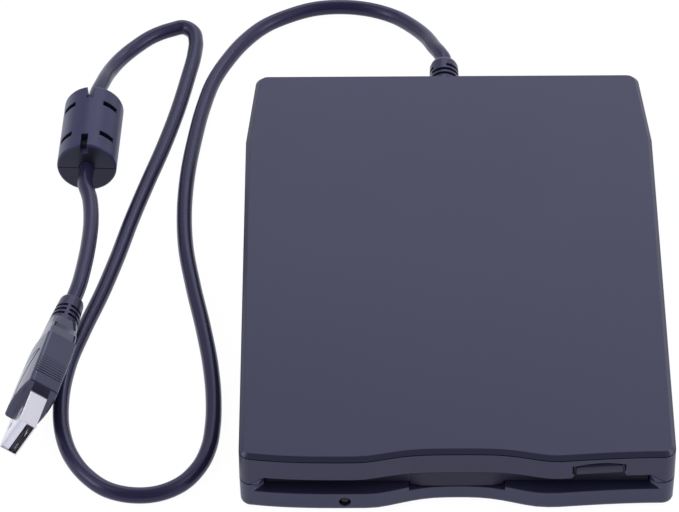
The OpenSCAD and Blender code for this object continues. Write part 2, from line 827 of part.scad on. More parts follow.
module head_carriage() {
    color(grey)
    difference() {
        union() {
            box([rod_x_pos + rod_radius + 0.25, head_y - 3, carriage_low], [8, tail_front + 0.5, carriage_top]);
            box([rod_x_pos + rod_radius + 0.25, head_y + 4, carriage_low],
                [rod_x_pos + rod_radius + 1.6, tail_front, carriage_top + 0.05]);
            rod_z(0, head_y, carriage_low, 4.2, carriage_top - carriage_low);
            box([rod_x_pos - 2.4, tail_front, rod_z_pos - 1.1], [ear_half, tail_rear, rod_z_pos + 1.9]);
            box([-ear_half, tail_front, rod_z_pos - 1.1], [ear_half, tail_rear, pivot_z - 1.6]);
            for (side = [0, 1])
                mirror([side, 0, 0])
                    box([arm_half + play, tail_front, pivot_z - 2], [ear_half, tail_rear, pivot_z + 1.4]);
            box([ear_half - 1, tail_rear - 3.9, screw_z - 2.4], [screw_x + 3.4, tail_rear, screw_z + 2.4]);
        }
        rod_y(rod_x_pos, tail_front - 1, rod_z_pos, rod_radius + run_fit, 10);
        rod_y(screw_x, tail_rear - 5, screw_z, screw_radius + fit, 6);
        rod_x(-ear_half - 1, pivot_y, pivot_z, pivot_pin, 2 * ear_half + 2);
        box([-6, head_y + 8, carriage_low - 1], [3, tail_front - 3, carriage_top + 1]);
        box([-7, tail_front - 1, rod_z_pos + 1.2], [6, tail_rear - 1.2, pivot_z - 3.2]);
        rod_z(0, head_y, carriage_low - 1, 2.6, 5);
    }
}

module lower_head() {
    color(dark)
    union() {
        rod_z(0, head_y, carriage_low, 2.6, media_z - carriage_low - 0.4);
        translate([0, head_y, media_z - 0.5])
            rotate_extrude()
                polygon([[0, 0], [2.3, 0], [2.1, 0.3], [1.6, 0.5], [0, 0.5]]);
    }
}

module arm_pin() {
    color(bright)
    rod_x(-ear_half, pivot_y, pivot_z, pivot_pin, 2 * ear_half);
}

// The arm is drawn level, then raised to its rest pose.
module raised_arm() {
    translate([0, pivot_y, pivot_z])
        rotate([-arm_lift, 0, 0])
            children();
}

module upper_arm() {
    color(bright)
    raised_arm()
        difference() {
            union() {
                rotate([0, 90, 0])
                    translate([0, 0, -arm_half])
                        cylinder(r = 1.5, h = 2 * arm_half);
                linear_extrude(0.7)
                    polygon([[-arm_half, 0.6], [-arm_half, -6], [-5, -arm_reach - 3.5], [5, -arm_reach - 3.5],
                        [arm_half, -6], [arm_half, 0.6]]);
                for (side = [0, 1])
                    mirror([side, 0, 0])
                        linear_extrude(1.3)
                            polygon([[-arm_half, -2], [-arm_half, -6], [-5, -arm_reach - 3.5],
                                [-4.4, -arm_reach - 3.5], [-arm_half + 0.7, -6.2], [-arm_half + 0.7, -2]]);
            }
            rotate([0, 90, 0])
                translate([0, 0, -arm_half - 1])
                    cylinder(r = pivot_pin + run_fit, h = 2 * arm_half + 2);
            translate([0, 0, -1])
                linear_extrude(4)
                    polygon([[-5.5, -5], [-3.4, -arm_reach + 5], [3.4, -arm_reach + 5], [5.5, -5]]);
        }
}

head_block = 2.7;

module upper_head() {
    color(dark)
    raised_arm()
        translate([0, -arm_reach, 0])
            rotate([180, 0, 0])
                rotate_extrude()
                    polygon([[0, 0], [3, 0], [3, 1], [2.2, 1.4], [2.2, head_block - 0.3],
                        [1.7, head_block], [0, head_block]]);
}

// ---------- disk holder ----------
holder_top = disk_top + 1.05;
holder_front = flap_y + flap_z - flap_tab_low + 0.9;
lip_width = 5.2;

module disk_holder() {
    color(steel)
    difference() {
        union() {
            box([-holder_half, holder_front, holder_top], [holder_half, holder_rear, holder_top + holder_sheet]);
            for (side = [0, 1])
                mirror([side, 0, 0]) {
                    box([holder_half - holder_sheet, holder_front, disk_low - holder_sheet - 0.1],
                        [holder_half, holder_rear, holder_top + 0.2]);
                    box([holder_half - lip_width, holder_front, disk_low - holder_sheet - 0.1],
                        [holder_half, holder_rear, disk_low - 0.1]);
                    for (y = [pin_front_y, pin_rear_y])
                        rod_x(holder_half - 0.3, y, pin_z, guide_pin, chassis_half - holder_half + 0.5);
                }
        }
        // gap for the heads
        box([-10, head_y - head_travel - 6, holder_top - 1], [10, holder_rear + 1, holder_top + 1]);
        // gap for the trigger finger
        box([lever_x + 3, disk_end - 5.5, holder_top - 1], [lever_x + 14, holder_rear + 1, holder_top + 1]);
        // leaf springs pressed out of the roof
        for (side = [-1, 1])
            translate([side * (holder_half - 15.7), hub_y - 8, holder_top - 1])
                difference() {
                    box([-4, -12, 0], [4, 12, 3]);
                    box([-2.6, -13, -1], [2.6, 10, 4]);
                }
        rod_z(0, hub_y, holder_top - 1, 7, 3);
        for (side = [-1, 1])
            box([side * (holder_half - 23.7) - 5, holder_front + 6, holder_top - 1],
                [side * (holder_half - 23.7) + 5, holder_front + 16, holder_top + 1]);
    }
}

// ---------- eject slide and button ----------
slide_low = holder_top + holder_sheet + 0.95;
slide_top = slide_low + slide_sheet;
slide_front = flap_y + 6.75;
slide_rear = disk_end + 8;
slide_window_half = flange_out - 8.6;
flange_low = pin_z - load_drop - guide_pin - 1.6;

module cam_slot(y) {
    // the holder pin moves back and down in the slide as the slide runs forward
    translate([holder_half, y, pin_z])
        rotate([0, 90, 0])
            linear_extrude(3) {
                circle(r = guide_pin + fit);
                translate([load_drop, eject_travel])
                    circle(r = guide_pin + fit);
                slot_angle = atan(load_drop / eject_travel);
                across = [cos(slot_angle), -sin(slot_angle)] * (guide_pin + fit);
                polygon([across, -across, [load_drop, eject_travel] - across, [load_drop, eject_travel] + across]);
            }
}

module eject_slide() {
    color(bright)
    difference() {
        union() {
            box([-flange_out, slide_front, slide_low], [flange_out, slide_rear, slide_top]);
            for (side = [0, 1])
                mirror([side, 0, 0])
                    box([flange_out - slide_sheet, slide_front + 6, flange_low],
                        [flange_out, pin_rear_y + 9, slide_low + 0.2]);
            // upturned tab that the trigger lever's nose holds back
            box([lever_x + nose_x - 1.6, lever_y + nose_y + 3.6, slide_low],
                [lever_x + nose_x + 0.8, lever_y + nose_y + 4.2, slide_top + 1.1]);
        }
        for (side = [0, 1])
            mirror([side, 0, 0]) {
                cam_slot(pin_front_y);
                cam_slot(pin_rear_y);
            }
        // gap for the head arm, wider where its ears come forward
        box([-arm_half - 2, head_y - head_travel - 6, slide_low - 1], [arm_half + 2, slide_rear + 1, slide_top + 1]);
        box([-ear_half - 1.2, disk_end - 5, slide_low - 1], [ear_half + 1.2, slide_rear + 1, slide_top + 1]);
        // window for the trigger lever
        box([lever_x + nose_x + 2, disk_end - 7, slide_low - 1], [lever_x + 16, slide_rear + 1, slide_top + 1]);
        // large lightening windows
        for (side = [0, 1])
            mirror([side, 0, 0]) {
                box([8, slide_front + 9, slide_low - 1], [slide_window_half, hub_y - 8.5, slide_top + 1]);
                box([16, hub_y + 1.5, slide_low - 1], [slide_window_half, disk_end - 18.5, slide_top + 1]);
            }
        rod_z(0, hub_y, slide_low - 1, 6, 3);
    }
}

button_face = top_front(button_x) + 0.05;

// Side view of the button: its face rounds back towards the top.
module button_side() {
    polygon([[button_back, button_low], [button_face + 0.15, button_low], [button_face, button_low + 0.2],
        [button_face, button_low + 1.3], [button_face + 0.15, button_high - 0.8],
        [button_face + 0.45, button_high - 0.35], [button_face + 1, button_high], [button_back, button_high]]);
}

module eject_button() {
    color(black)
    union() {
        intersection() {
            along_front(front_y - 1, button_back)
                polygon(arch(button_width / 2, button_high, button_low));
            translate([button_x, button_face, 0])
                rotate([0, 0, button_slope])
                    translate([-button_width, -button_face, 0])
                        rotate([90, 0, 90])
                            linear_extrude(2 * button_width)
                                button_side();
        }
        box([button_x - stem_width / 2, button_back - 0.9, slide_low],
            [button_x + stem_width / 2, slide_front, button_high - 0.2]);
    }
}

// ---------- trigger lever ----------
lever_low = slide_top + 0.35;
lever_sheet = 0.7;
pivot_base = lever_low - 0.1;
finger_x = 8;
finger_y = -7.4;
nose_x = -6.6;
nose_y = -3;

module trigger_lever() {
    color(grey)
    translate([lever_x, lever_y, 0])
        difference() {
            union() {
                rod_z(0, 0, lever_low, 2.4, lever_sheet);
                translate([0, 0, lever_low])
                    linear_extrude(lever_sheet)
                        polygon([[-1.6, -1.8], [finger_x - 0.9, finger_y - 0.8], [finger_x + 0.9, finger_y + 0.8],
                            [2.2, 1], [-1.4, 2], [nose_x + 0.4, nose_y + 0.8], [nose_x, nose_y],
                            [nose_x + 0.8, nose_y - 0.8]]);
                rod_z(finger_x, finger_y, disk_low + 0.9, 1.2, lever_low + lever_sheet - disk_low - 0.9);
            }
            rod_z(0, 0, lever_low - 1, 0.9 + run_fit, 4);
        }
}

// ---------- switches, boards, cable ----------
switch_x = holder_half - 9.5;
switch_y = disk_end - 10;
switch_top = inner_floor + 2.15;
plunger_radius = 0.92;
plunger_travel = 1.6;
plunger_low = inner_floor + 1.75;
plunger_high = disk_low - 0.15;

module switch_blocks() {
    color(dark)
    for (side = [-1, 1])
        difference() {
            box([side * switch_x - 3.3, switch_y - 4, inner_floor], [side * switch_x + 3.3, switch_y + 4, switch_top]);
            rod_z(side * switch_x, switch_y, inner_floor - 1, plunger_radius + 0.08, 5);
        }
}

module plunger(x) {
    translate([x, switch_y, 0])
        rotate_extrude()
            polygon([[0, plunger_low], [plunger_radius, plunger_low], [plunger_radius, plunger_high - 0.5],
                [plunger_radius - 0.5, plunger_high], [0, plunger_high]]);
}

module protect_plunger() {
    color(white)
    plunger(-switch_x);
}

module disk_plunger() {
    color(white)
    plunger(switch_x);
}

drive_board_left = -chassis_screw_x + 1.6;
ribbon_x = drive_board_left + 18.4;
ribbon_width = 9;
drive_board_front = chassis_rear - 17;
drive_board_rear = chassis_rear - 1.2;

module drive_board() {
    color(green)
    union() {
        box([drive_board_left, drive_board_front, chassis_top],
            [drive_board_left + 24.2, drive_board_rear, chassis_top + 0.8]);
        box([drive_board_left + 8.4, drive_board_front + 2, chassis_top + 0.8],
            [drive_board_left + 17.4, drive_board_front + 10, chassis_top + 2]);
        box([ribbon_x - ribbon_width / 2 - 0.6, drive_board_rear - 3.4, chassis_top + 0.8],
            [ribbon_x + ribbon_width / 2 + 0.6, drive_board_rear - 0.6, chassis_top + 2.6]);
        box([drive_board_left + 1.4, drive_board_front + 3, chassis_top + 0.8],
            [drive_board_left + 5.4, drive_board_front + 7, chassis_top + 1.8]);
    }
}

controller_rear = rear_y - wall - 2.3;
controller_front = chassis_rear + 1;
controller_top = board_z + board_sheet;

module controller_board() {
    color(green)
    difference() {
        union() {
            box([-board_post_x - 5, controller_front, board_z], [board_post_x + 5, controller_rear, controller_top]);
            box([8, controller_front + 0.5, controller_top], [15, controller_rear - 0.5, controller_top + 1.2]);
            box([20, controller_front + 1.5, controller_top], [25, controller_rear - 2, controller_top + 1]);
            box([ribbon_x - ribbon_width / 2 - 0.6, controller_front + 0.4, controller_top],
                [ribbon_x + ribbon_width / 2 + 0.6, controller_front + 2.4, controller_top + 1.8]);
        }
        for (side = [-1, 1])
            rod_z(side * board_post_x, board_post_y, board_z - 1, screw_shank + 0.2, 4);
    }
}

module ribbon_cable() {
    color(white)
    // from the connector on the drive's board over the rear flange to the controller
    translate([ribbon_x + ribbon_width / 2, 0, 0])
        rotate([90, 0, -90])
            linear_extrude(ribbon_width)
                ribbon_profile();
}

module ribbon_profile() {
    // drawn in the plane of depth and height, then turned across the drive
    start = -(drive_board_rear - 0.6);
    finish = -(controller_front + 0.4);
    low = chassis_top + 1.6;
    high = controller_top + 0.8;
    polygon([[start, low], [start - 0.9, low], [finish + 0.9, high], [finish, high],
        [finish, high + 0.2], [finish + 1, high + 0.2], [start - 0.8, low + 0.2], [start, low + 0.2]]);
}

led_recess = 0.7;
led_guide = 4.7;

module led_lens() {
    color([0.55, 0.75, 0.5, 0.7])
    translate([led_x, lip_front(led_x) + led_recess, led_z])
        rotate([-90, 0, 0])
            rotate_extrude()
                polygon([[0, -0.2], [0.7, -0.05], [1.1, 0.15], [1.35, 0.5], [1.35, led_guide], [0, led_guide]]);
}

led_board_front = chassis_front + 1.6;

module led_board() {
    color(green)
    union() {
        box([led_x - 7, led_board_front, chassis_top], [led_x + 7, led_board_front + 7, chassis_top + 0.6]);
        box([led_x - 1.5, lip_front(led_x) + led_recess + led_guide + 0.15, led_z - 1.1],
            [led_x + 1.5, led_board_front + 1.4, led_z + 1]);
    }
}

module cord_connector() {
    color(white)
    difference() {
        box([outlet_x - 5, controller_rear - 4.2, controller_top],
            [outlet_x + 5, controller_rear + 0.2, controller_top + 5]);
        box([outlet_x - 4, controller_rear - 1, controller_top + 1.2],
            [outlet_x + 4, controller_rear + 2, controller_top + 4]);
    }
}

module cord_leads() {
    for (i = [0:3])
        color([[0.7, 0.1, 0.1], white, [0.1, 0.5, 0.2], dark][i])
            rod_y(outlet_x - 1.65 + 1.1 * i, controller_rear - 1, outlet_z - 1, 0.5,
                rear_y - wall - 1.3 - controller_rear + 1);
}

// ---------- strain relief at the rear ----------
relief_pitch = 1.8;
relief_flange = 1.3;
relief_first = 2.3;
relief_slot = 1;
relief_turns = [70, 160, 90, 96, 160];
relief_cut = 1.1;

// Slots round a relief: each row has as many arcs as asked, turned to its own angle.
module relief_slots(length, root, tip, turns, pitch, first, width, arcs, sweep) {
    for (i = [0:len(turns) - 1])
        let (along = first + i * pitch, r = root + (tip - root) * along / length)
            for (k = [0:arcs - 1])
                rotate([0, 0, turns[i] + k * 360 / arcs - sweep / 2])
                    rotate_extrude(angle = sweep)
                        translate([r - relief_cut, along - width / 2])
                            square([relief_cut + 1, width]);
}

module relief_body(length, root, tip, dome) {
    rotate_extrude()
        polygon([[0, 0], [root, 0], [tip, length - dome], [tip - 0.15 * dome, length - 0.55 * dome],
            [tip - 0.42 * dome, length - 0.2 * dome], [tip - 0.8 * dome, length], [0, length]]);
}

module strain_relief() {
    color(black)
    translate([outlet_x, rear_y, outlet_z])
        rotate([-90, 0, 0])
            union() {
                difference() {
                    relief_body(relief_length, relief_root, relief_tip, 2);
                    relief_slots(relief_length, relief_root, relief_tip, relief_turns, relief_pitch,
                        relief_first, relief_slot, 2, 124);
                }
                translate([0, 0, -wall - eps])
                    cylinder(r = outlet_neck - 0.05, h = wall + 0.2);
                translate([0, 0, -wall - relief_flange])
                    cylinder(r = relief_root + 0.6, h = relief_flange);
            }
}

// ---------- cord ----------
cord_radius = cord_diameter / 2;
relief_end = [outlet_x, rear_y + relief_length, outlet_z];

// The ferrite lies on the table, its axis along Y with a slight turn.
ferrite_middle = [-92.8, 58, ferrite_radius];
ferrite_turn = -2.5;
function turned(v, a) = [v[0] * cos(a) - v[1] * sin(a), v[0] * sin(a) + v[1] * cos(a), v[2]];
ferrite_back = ferrite_middle + turned([0, ferrite_length / 2, 0], ferrite_turn);
ferrite_front = ferrite_middle - turned([0, ferrite_length / 2, 0], ferrite_turn);

// The plug leans on its lower edge, tip towards the viewer.
plug_roll = 28;
plug_turn = -13;
plug_face = [-103.05, -42.55,
    0.1 + grip_width / 2 * cos(plug_roll) + grip_thickness / 2 * sin(plug_roll)];
plug_back = grip_length + plug_relief_length;
plug_end = plug_face + turned([0, plug_back, 0], plug_turn);

// Round-number points by eye from the photograph; the ends leave their pieces square.
long_route = concat(
    [relief_end, relief_end + [0, 2, 0], relief_end + [-0.8, 4.5, -0.3]],
    [[-2.8, 93.7, 8], [-4.8, 100.2, 6], [-8.7, 107.6, 4], [-13.6, 113.5, 2.6], [-20, 117, 2.1], [-27, 118.3, 2],
    [-35, 117.5, 2], [-42, 114.5, 2], [-48, 110.5, 2], [-53.5, 104, 2], [-58, 96, 2], [-61.5, 87.5, 2],
    [-64, 77, 2], [-66, 64, 2], [-67.5, 50, 2], [-68, 36, 2], [-67.3, 22, 2], [-65, 7, 2],
    [-62, -9, 2], [-60, -22, 2], [-59, -34, 2], [-59, -43, 2], [-59.8, -50.5, 2], [-62.1, -57.4, 2],
    [-66.3, -63.1, 2], [-72, -66.2, 2], [-78, -66.6, 2], [-83.9, -64.7, 2], [-89.1, -60, 2], [-93.1, -53.4, 2],
    [-95.6, -45, 2], [-96.4, -35, 2], [-95.25, -22, 2], [-92, -9, 2], [-88, 4.5, 2], [-84.6, 18, 2],
    [-81.5, 32, 2], [-78, 46, 2], [-74.3, 60, 2], [-71, 74.5, 2], [-68.4, 89, 2], [-66.9, 99, 2],
    [-66.7, 104, 2], [-67.6, 108, 2], [-70, 110, 2], [-73.5, 109, 2], [-78, 106.5, 2], [-83, 101.5, 2],
    [-86.8, 96, 2.3], [-89.3, 89.5, 3.6], [-90.7, 82.5, 5.8]],
    [ferrite_back + turned([0, 5, 0], ferrite_turn) + [0, 0, -0.25],
        ferrite_back + turned([0, 2, 0], ferrite_turn), ferrite_back]
);
short_route = concat(
    [ferrite_front, ferrite_front - turned([0, 2, 0], ferrite_turn),
        ferrite_front - turned([0, 5, 0], ferrite_turn)],
    [[-92, 34, 7.9], [-91.3, 26, 8.2], [-91.5, 16, 8.6], [-92.2, 8, 8.8]],
    [plug_end + turned([0, 5, 0], plug_turn), plug_end + turned([0, 2, 0], plug_turn), plug_end]
);

function unit(v) = v / norm(v);
function heading(route, i) =
    i == 0 ? unit(route[1] - route[0])
    : i == len(route) - 1 ? unit(route[i] - route[i - 1])
    : unit(unit(route[i] - route[i - 1]) + unit(route[i + 1] - route[i]));

// One ring square to the route: its first side direction stays level.
function tube_ring(centre, along, r, sides) =
    let (level = unit(cross(along, [0, 0, 1])), up = cross(level, along))
        [for (k = [0:sides - 1]) let (a = 360 * (k + 0.5) / sides) centre + r * (cos(a) * level + sin(a) * up)];

module tube(route, r, sides) {
    skin([for (i = [0:len(route) - 1]) tube_ring(route[i], -heading(route, i), r, sides)]);
}

// Flats stand in for the round, so the ring's corners sit a little outside it.
cord_sides = 8;
cord_corner = cord_radius / cos(180 / cord_sides) - 0.06;

module cord_long() {
    color(black)
    tube(long_route, cord_corner, cord_sides);
}

module cord_short() {
    color(black)
    tube(short_route, cord_corner, cord_sides);
}

module at_ferrite() {
    translate(ferrite_middle)
        rotate([0, 0, ferrite_turn])
            rotate([-90, 0, 0])
                children();
}

ferrite_window = 1.7;
ferrite_row = 11.8;
ferrite_round = 0.5;
ferrite_roll = -4;
core_radius = 5.5;
core_length = 17.6;
notch_width = 1.8;
notch_length = 4.6;
end_wall = (ferrite_length - core_length) / 2;
shell_line = 0.25;

module ferrite_cover() {
    color(black)
    at_ferrite()
        difference() {
            translate([0, 0, -ferrite_length / 2])
                rotate_extrude()
                    polygon([[cord_radius, 0], [ferrite_radius - ferrite_round, 0],
                        [ferrite_radius - 0.3 * ferrite_round, 0.3 * ferrite_round],
                        [ferrite_radius, ferrite_round], [ferrite_radius, ferrite_length - ferrite_round],
                        [ferrite_radius - 0.3 * ferrite_round, ferrite_length - 0.3 * ferrite_round],
                        [ferrite_radius - ferrite_round, ferrite_length], [cord_radius, ferrite_length]]);
            translate([0, 0, -core_length / 2])
                cylinder(r = core_radius, h = core_length);
            // line in which the two halves of the cover meet
            difference() {
                box([-ferrite_radius - 1, -shell_line / 2, -ferrite_length / 2 - 1],
                    [ferrite_radius + 1, shell_line / 2, ferrite_length / 2 + 1]);
                translate([0, 0, -ferrite_length / 2 + shell_line])
                    cylinder(r = ferrite_radius - shell_line, h = ferrite_length - 2 * shell_line);
            }
            rotate([0, 0, ferrite_roll]) {
                for (row = [-ferrite_row / 2, ferrite_row / 2])
                    for (a = [45:90:315])
                        rotate([0, 0, a - 17])
                            rotate_extrude(angle = 34)
                                translate([core_radius - 0.1, row - ferrite_window / 2])
                                    square([ferrite_radius - core_radius + 1, ferrite_window]);
                // clasp notches in the top of both ends
                for (end = [0, 1])
                    mirror([0, 0, end]) {
                        box([-notch_width / 2, -ferrite_radius - 1, ferrite_length / 2 - notch_length],
                            [notch_width / 2, -core_radius + 0.1, ferrite_length / 2 + 1]);
                        box([-notch_width / 2, -ferrite_radius - 1, ferrite_length / 2 - end_wall + 0.4],
                            [notch_width / 2, -ferrite_radius + 2.8, ferrite_length / 2 + 1]);
                    }
            }
        }
}

module ferrite_core() {
    color(grey)
    at_ferrite()
        translate([0, 0, -core_length / 2])
            difference() {
                cylinder(r = core_radius, h = core_length);
                translate([0, 0, -1])
                    cylinder(r = cord_radius, h = core_length + 2);
            }
}

module cord_inside() {
    color(black)
    at_ferrite()
        translate([0, 0, -ferrite_length / 2])
            cylinder(r = cord_radius, h = ferrite_length);
}

// ---------- USB plug ----------
// Drawn with its front face at Y = 0, tip to -Y, thickness along X, width along Z.
module at_plug() {
    translate(plug_face)
        rotate([0, 0, plug_turn])
            rotate([0, plug_roll, 0])
                children();
}

grip_corner_steps = 3;
grip_side_steps = 6;

// Rounded oblong whose two long sides swell out by the crown.
function rounded(hx, hz, r, crown) = [
    for (half = [0, 1]) let (s = 1 - 2 * half)
        each concat(
            [for (i = [1:grip_side_steps - 1]) let (u = 2 * i / grip_side_steps - 1)
                s * [hx + crown * (1 - u * u), u * (hz - r)]],
            arc(s * (hx - r), s * (hz - r), r, 180 * half, 180 * half + 90, grip_corner_steps),
            arc(-s * (hx - r), s * (hz - r), r, 180 * half + 90, 180 * half + 180, grip_corner_steps)
        )];
function section(y, hx, hz, r, crown) = [for (p = rounded(hx, hz, r, crown)) [p[0], y, p[1]]];

grip_body = 18.8;
grip_crown = 0.6;
rib_start = 3.7;
rib_pitch = 0.8;
rib_count = 8;
groove_y = 13.6;
groove_radius = 25;

module plug_grip() {
    hx = grip_thickness / 2;
    hz = grip_width / 2;
    color(black)
    at_plug()
        difference() {
            skin([
                section(0, hx - 0.3, hz - 0.3, 0.7, grip_crown - 0.1),
                section(0.3, hx, hz, 0.9, grip_crown),
                section(grip_body * 0.5, hx, hz - 0.2, 0.9, grip_crown),
                section(grip_body - 0.3, hx, hz - 0.9, 0.9, grip_crown),
                section(grip_body, hx - 0.35, hz - 1.25, 0.9, grip_crown - 0.15),
                section(grip_body + 3, hx - 0.35, hz - 2.1, 1, grip_crown - 0.3),
                section(grip_body + 6, hx - 0.35, hz - 3.6, 1.4, 0.2),
                section(grip_length, hx - 0.35, hz - 4.3, 2.4, 0.15)
            ]);
            // fine ribs on the two narrow faces
            for (side = [-1, 1])
                for (i = [0:rib_count - 1])
                    translate([0, rib_start + i * rib_pitch, side * hz])
                        cube([grip_thickness + 2, 0.3, 0.5], center = true);
            // curved groove across each broad face
            for (side = [-1, 1])
                intersection() {
                    translate([side * (hx + 0.3), groove_y - groove_radius, 1.5])
                        rotate([0, 90, 0])
                            difference() {
                                cylinder(r = groove_radius, h = 1.2, center = true, $fn = 96);
                                cylinder(r = groove_radius - 0.4, h = 3, center = true, $fn = 96);
                            }
                    box([-hx - 2, groove_y - 3, -6], [hx + 2, groove_y + 1, 5]);
                }
            // pocket for the shell
            box([-shell_thickness / 2, -1, -shell_width / 2], [shell_thickness / 2, shell_root, shell_width / 2]);
            rotate([-90, 0, 0])
                cylinder(r = 1.8, h = grip_length + 1);
        }
}

shell_root = 7;
shell_sheet = 0.3;

plug_relief_root = 3.75;
plug_relief_tip = 3.1;
plug_relief_turns = [30, 30, 30];

module plug_relief() {
    color(black)
    at_plug()
        translate([0, grip_length, 0])
            rotate([-90, 0, 0])
                difference() {
                    relief_body(plug_relief_length, plug_relief_root, plug_relief_tip, 0.8);
                    relief_slots(plug_relief_length, plug_relief_root, plug_relief_tip, plug_relief_turns,
                        1.6, 1.8, 0.8, 4, 76);
                }
}

module plug_shell() {
    hx = shell_thickness / 2;
    hz = shell_width / 2;
    color(bright)
    at_plug()
        difference() {
            box([-hx, -shell_length, -hz], [hx, shell_root, hz]);
            box([-hx + shell_sheet, -shell_length - 1, -hz + shell_sheet],
                [hx - shell_sheet, shell_root + 1, hz - shell_sheet]);
            for (side = [-1, 1])
                translate([0, -shell_length + 5.1, side * 2.9])
                    cube([shell_thickness + 2, 2, 2.2], center = true);
        }
}

tongue_thickness = 1.9;

module plug_tongue() {
    hx = shell_thickness / 2 - shell_sheet;
    hz = shell_width / 2 - shell_sheet;
    color(white)
    at_plug()
        difference() {
            union() {
                box([-hx, -shell_length + 0.3, -hz], [-hx + tongue_thickness, shell_root, hz]);
                box([-hx, 0, -hz], [hx, shell_root, hz]);
            }
            for (z = [-3.5, -1, 1, 3.5])
                box([-hx + tongue_thickness - 0.3, -shell_length + 1.4, z - 0.5],
                    [-hx + tongue_thickness + 1, eps, z + 0.5]);
        }
}

module plug_contacts() {
    hx = shell_thickness / 2 - shell_sheet;
    color(gold)
    at_plug()
        for (z = [-3.5, -1, 1, 3.5])
            box([-hx + tongue_thickness - 0.3, -shell_length + 1.4, z - 0.5],
                [-hx + tongue_thickness - 0.05, eps, z + 0.5]);
}

// ---------- door flap ----------
pad_slope = 2.6;

module door_flap() {
    color(black)
    union() {
        box([-flap_half, flap_front, flap_low], [flap_half, flap_front + flap_thickness, flap_z]);
        box([-flap_tab_half, flap_front, flap_tab_low], [flap_tab_half, flap_front + flap_thickness, flap_z]);
        // middle pad, its edges sloped
        translate([0, 0, flap_tab_low])
            linear_extrude(slot_high - 0.2 - flap_tab_low)
                polygon([[-flap_tab_half, flap_front + 0.1], [-flap_tab_half, flap_front],
                    [-flap_tab_half + pad_slope, flap_front - pad_depth],
                    [flap_tab_half - pad_slope, flap_front - pad_depth],
                    [flap_tab_half, flap_front], [flap_tab_half, flap_front + 0.1]]);
        rod_x(-flap_half, flap_y, flap_z, flap_barrel, 2 * flap_half);
        rod_x(-flap_half - play - 1, flap_y, flap_z, flap_pin, 2 * (flap_half + play + 1));
        for (x = [-30, -10, 10, 30])
            box([x - 0.4, flap_front + 0.4, flap_low + 0.6], [x + 0.4, flap_front + flap_thickness + 0.25, flap_z - 0.6]);
    }
}

top_cover();
bottom_cover();
rubber_feet();
cover_screws();
chassis_screws();
board_screws();
led_lens();
led_board();
chassis();
top_shield();
motor_board();
motor_coils();
spindle_bearing();
stepper_can();
stepper_bracket();
guide_rod();
switch_blocks();
drive_board();
ribbon_cable();
controller_board();
cord_connector();
cord_leads();
strain_relief();
door_flap();
eject_button();
eject_slide();
disk_holder();
trigger_lever();
head_carriage();
lower_head();
arm_pin();
upper_arm();
upper_head();
lead_screw();
spindle_rotor();
chuck_hub();
protect_plunger();
disk_plunger();
cord_long();
cord_inside();
cord_short();
ferrite_cover();
ferrite_core();
plug_relief();
plug_grip();
plug_shell();
plug_tongue();
plug_contacts();
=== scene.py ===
import math

import bpy
from mathutils import Matrix, Vector


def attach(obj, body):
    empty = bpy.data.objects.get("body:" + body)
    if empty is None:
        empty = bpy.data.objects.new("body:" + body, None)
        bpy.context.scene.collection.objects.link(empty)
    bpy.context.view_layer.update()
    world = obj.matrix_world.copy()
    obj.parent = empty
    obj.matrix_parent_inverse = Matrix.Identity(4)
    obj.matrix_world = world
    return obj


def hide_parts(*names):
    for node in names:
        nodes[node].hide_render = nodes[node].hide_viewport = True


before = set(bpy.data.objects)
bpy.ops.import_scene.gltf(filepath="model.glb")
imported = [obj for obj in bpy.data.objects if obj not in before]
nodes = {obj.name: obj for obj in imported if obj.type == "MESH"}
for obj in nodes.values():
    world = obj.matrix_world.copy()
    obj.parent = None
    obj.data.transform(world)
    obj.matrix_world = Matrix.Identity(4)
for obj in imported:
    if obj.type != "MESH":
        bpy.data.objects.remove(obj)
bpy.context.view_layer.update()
scene = bpy.context.scene

# Lengths are written in mm and angles in degrees, as in part.scad: x to the right as seen from the front,
# y to the back, z up from the table.
MM = 0.001

# ---------------------------------------------------------------- camera
# From a least-squares fit to the casing's corners and edges in the photograph, with the casing's size taken as
# known, and then small changes that brought the outlines of object and photograph together.
PHOTO_WIDTH = 679
FOCAL_LENGTH_PIXELS = 4402
SHIFT_PIXELS = (0.15, 0.35)
SENSOR_WIDTH = 36
CAMERA_PLACE = Vector((-22.69, -808.54, 755.74))
YAW, PITCH, ROLL = math.radians(0.3784), math.radians(42.36), math.radians(-0.5526)


def make_camera():
    forward = Vector((-math.sin(YAW) * math.cos(PITCH), math.cos(YAW) * math.cos(PITCH), -math.sin(PITCH)))
    level = Vector((math.cos(YAW), math.sin(YAW), 0))
    upward = level.cross(forward)
    right = math.cos(ROLL) * level + math.sin(ROLL) * upward
    up = -math.sin(ROLL) * level + math.cos(ROLL) * upward
    data = bpy.data.cameras.new("camera")
    data.sensor_width = SENSOR_WIDTH
    data.lens = FOCAL_LENGTH_PIXELS * SENSOR_WIDTH / PHOTO_WIDTH
    data.shift_x = SHIFT_PIXELS[0] / PHOTO_WIDTH
    data.shift_y = SHIFT_PIXELS[1] / PHOTO_WIDTH
    data.clip_start, data.clip_end = 0.05, 20
    camera = bpy.data.objects.new("camera", data)
    axes = Matrix((right, up, -forward)).transposed().to_4x4()
    camera.matrix_world = Matrix.Translation(CAMERA_PLACE * MM) @ axes
    scene.collection.objects.link(camera)
    scene.camera = camera


make_camera()

# ---------------------------------------------------------------- the ferrite's and the plug's places
CORD_RADIUS = 2
FERRITE_MIDDLE = Vector((-92.8, 58, 7.7))
FERRITE_LENGTH = 23.6
FERRITE_TURN = -2.5
GRIP_WIDTH, GRIP_THICKNESS = 16, 7.9
PLUG_LENGTH = 37.5
PLUG_TURN, PLUG_LEAN = -13, 28
